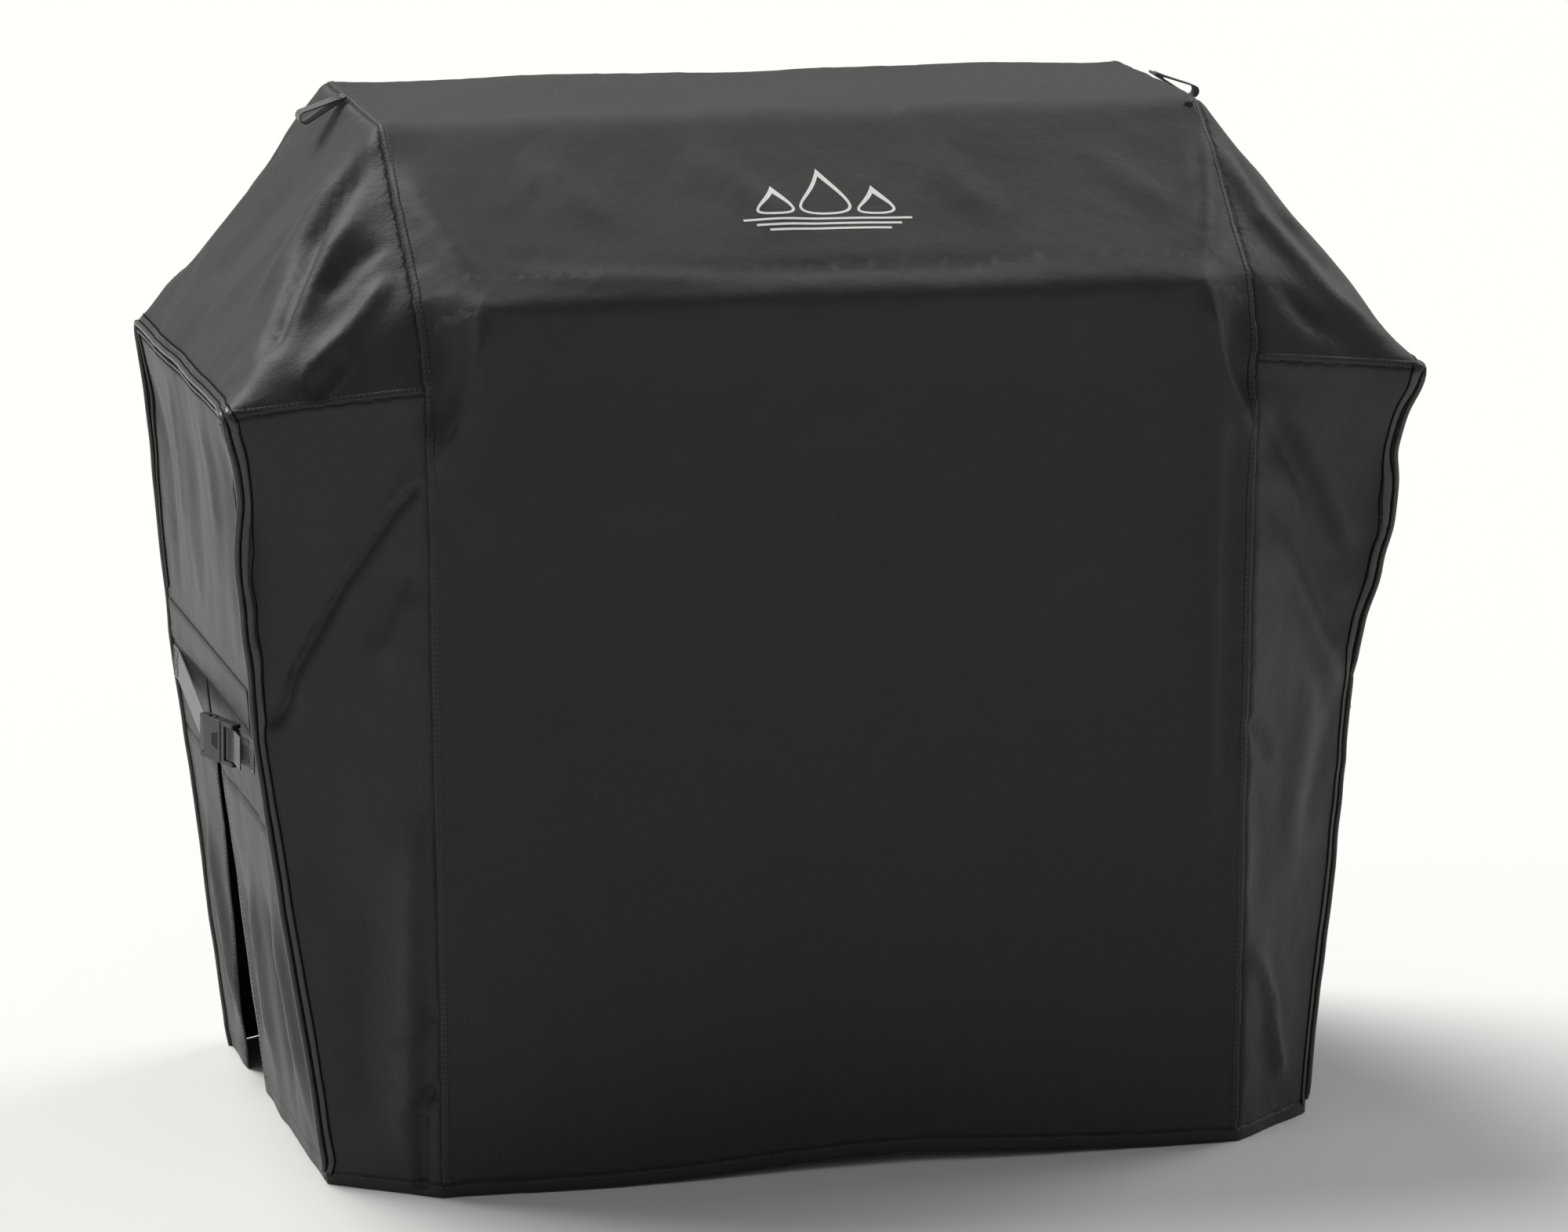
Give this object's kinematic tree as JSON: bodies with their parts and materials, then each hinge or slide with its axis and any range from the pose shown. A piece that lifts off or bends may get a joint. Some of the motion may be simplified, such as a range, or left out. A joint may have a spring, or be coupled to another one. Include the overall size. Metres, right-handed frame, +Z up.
{
  "type": "grill cover",
  "caption": "Sewn polyester cover for a gas grill with side tables, with mesh vents under rain flaps, slit ends, and straps with side-release buckles.",
  "frame": {"origin": "centre of the footprint at the hem, on the ground", "axes": "+Z up, +X towards the right end as seen from the front, -Y towards the front, which carries the badge"},
  "size_m": [1.41, 0.7216, 1.1971],
  "materials": {
    "cover_cloth": "satin",
    "hem_cloth": "satin",
    "piping": "satin",
    "vent_mesh": "matte",
    "strap_webbing": "satin",
    "loop_webbing": "satin",
    "buckle_plastic": "satin",
    "badge_print": "matte"
  },
  "bodies": {
    "cover": {"centre_panel": "cover_cloth", "front_badge": "badge_print", "front_hem_band": "hem_cloth", "left_buckle_plug": "buckle_plastic", "left_end_panel": "cover_cloth", "left_end_piping": "piping", "left_front_end_gore": "cover_cloth", "left_front_side_panel": "cover_cloth", "left_front_vent_mesh": "vent_mesh", "left_rear_end_gore": "cover_cloth", "left_rear_side_panel": "cover_cloth", "left_rear_vent_mesh": "vent_mesh", "left_shoulder_panel": "cover_cloth", "left_strap_front": "strap_webbing", "left_strap_rear": "strap_webbing", "rear_hem_band": "hem_cloth", "right_buckle_plug": "buckle_plastic", "right_end_panel": "cover_cloth", "right_end_piping": "piping", "right_front_end_gore": "cover_cloth", "right_front_side_panel": "cover_cloth", "right_front_vent_mesh": "vent_mesh", "right_rear_end_gore": "cover_cloth", "right_rear_side_panel": "cover_cloth", "right_rear_vent_mesh": "vent_mesh", "right_shoulder_panel": "cover_cloth", "right_strap_front": "strap_webbing", "right_strap_rear": "strap_webbing"},
    "right_loop": {"right_pull_loop": "loop_webbing"},
    "right_rain_flap": {"right_rain_flap": "cover_cloth"},
    "right_front_corner": {"right_front_slit_corner": "cover_cloth", "right_front_slit_hem": "hem_cloth"},
    "right_rear_corner": {"right_rear_slit_corner": "cover_cloth", "right_rear_slit_hem": "hem_cloth"},
    "right_socket": {"right_buckle_socket": "buckle_plastic"},
    "right_upper_prong": {"right_buckle_upper_prong": "buckle_plastic"},
    "right_lower_prong": {"right_buckle_lower_prong": "buckle_plastic"},
    "left_loop": {"left_pull_loop": "loop_webbing"},
    "left_rain_flap": {"left_rain_flap": "cover_cloth"},
    "left_front_corner": {"left_front_slit_corner": "cover_cloth", "left_front_slit_hem": "hem_cloth"},
    "left_rear_corner": {"left_rear_slit_corner": "cover_cloth", "left_rear_slit_hem": "hem_cloth"},
    "left_socket": {"left_buckle_socket": "buckle_plastic"},
    "left_upper_prong": {"left_buckle_upper_prong": "buckle_plastic"},
    "left_lower_prong": {"left_buckle_lower_prong": "buckle_plastic"}
  },
  "joints": [
    {"name": "right_loop_swing", "type": "hinge", "parent": "cover", "child": "right_loop", "pos_m": [0.492, 0.092, 1.19618], "axis": [0, 1, 0], "range_deg": [-120, 14]},
    {"name": "right_rain_flap_lift", "type": "hinge", "parent": "cover", "child": "right_rain_flap", "pos_m": [0.66724, 0, 0.563], "axis": [0, -1, 0], "range_deg": [0, 80]},
    {"name": "right_front_corner_fold", "type": "hinge", "parent": "cover", "child": "right_front_corner", "pos_m": [0.59398, -0.26552, 0.015], "axis": [-0.097, -0.6697, -0.7363], "range_deg": [0, 50]},
    {"name": "right_rear_corner_fold", "type": "hinge", "parent": "cover", "child": "right_rear_corner", "pos_m": [0.59398, 0.28707, 0.015], "axis": [0.1193, -0.4084, 0.905], "range_deg": [0, 50]},
    {"name": "right_buckle_release", "type": "slide", "parent": "cover", "child": "right_socket", "axis": [0.342, 0.9397, 0], "range_m": [0, 0.034], "deforming": ["right_strap_rear", "right_buckle_upper_prong", "right_buckle_lower_prong"]},
    {"name": "right_upper_prong_squeeze", "type": "hinge", "parent": "cover", "child": "right_upper_prong", "pos_m": [0.67758, -0.11194, 0.50175], "axis": [-0.9397, 0.342, 0], "range_deg": [0, 16.5], "stiffness_Nm_per_rad": 0.2},
    {"name": "right_lower_prong_squeeze", "type": "hinge", "parent": "cover", "child": "right_lower_prong", "pos_m": [0.67758, -0.11194, 0.47025], "axis": [0.9397, -0.342, 0], "range_deg": [0, 16.5], "stiffness_Nm_per_rad": 0.2},
    {"name": "left_loop_swing", "type": "hinge", "parent": "cover", "child": "left_loop", "pos_m": [-0.492, 0.092, 1.19618], "axis": [0, -1, 0], "range_deg": [-120, 14]},
    {"name": "left_rain_flap_lift", "type": "hinge", "parent": "cover", "child": "left_rain_flap", "pos_m": [-0.66724, 0, 0.563], "axis": [0, 1, 0], "range_deg": [0, 80]},
    {"name": "left_front_corner_fold", "type": "hinge", "parent": "cover", "child": "left_front_corner", "pos_m": [-0.59398, -0.26552, 0.015], "axis": [-0.097, 0.6697, 0.7363], "range_deg": [0, 50]},
    {"name": "left_rear_corner_fold", "type": "hinge", "parent": "cover", "child": "left_rear_corner", "pos_m": [-0.59398, 0.28707, 0.015], "axis": [0.1193, 0.4084, -0.905], "range_deg": [0, 50]},
    {"name": "left_buckle_release", "type": "slide", "parent": "cover", "child": "left_socket", "axis": [-0.342, 0.9397, 0], "range_m": [0, 0.034], "deforming": ["left_strap_rear", "left_buckle_upper_prong", "left_buckle_lower_prong"]},
    {"name": "left_upper_prong_squeeze", "type": "hinge", "parent": "cover", "child": "left_upper_prong", "pos_m": [-0.67758, -0.11194, 0.50175], "axis": [-0.9397, -0.342, 0], "range_deg": [0, 16.5], "stiffness_Nm_per_rad": 0.2},
    {"name": "left_lower_prong_squeeze", "type": "hinge", "parent": "cover", "child": "left_lower_prong", "pos_m": [-0.67758, -0.11194, 0.47025], "axis": [0.9397, 0.342, 0], "range_deg": [0, 16.5], "stiffness_Nm_per_rad": 0.2}
  ]
}
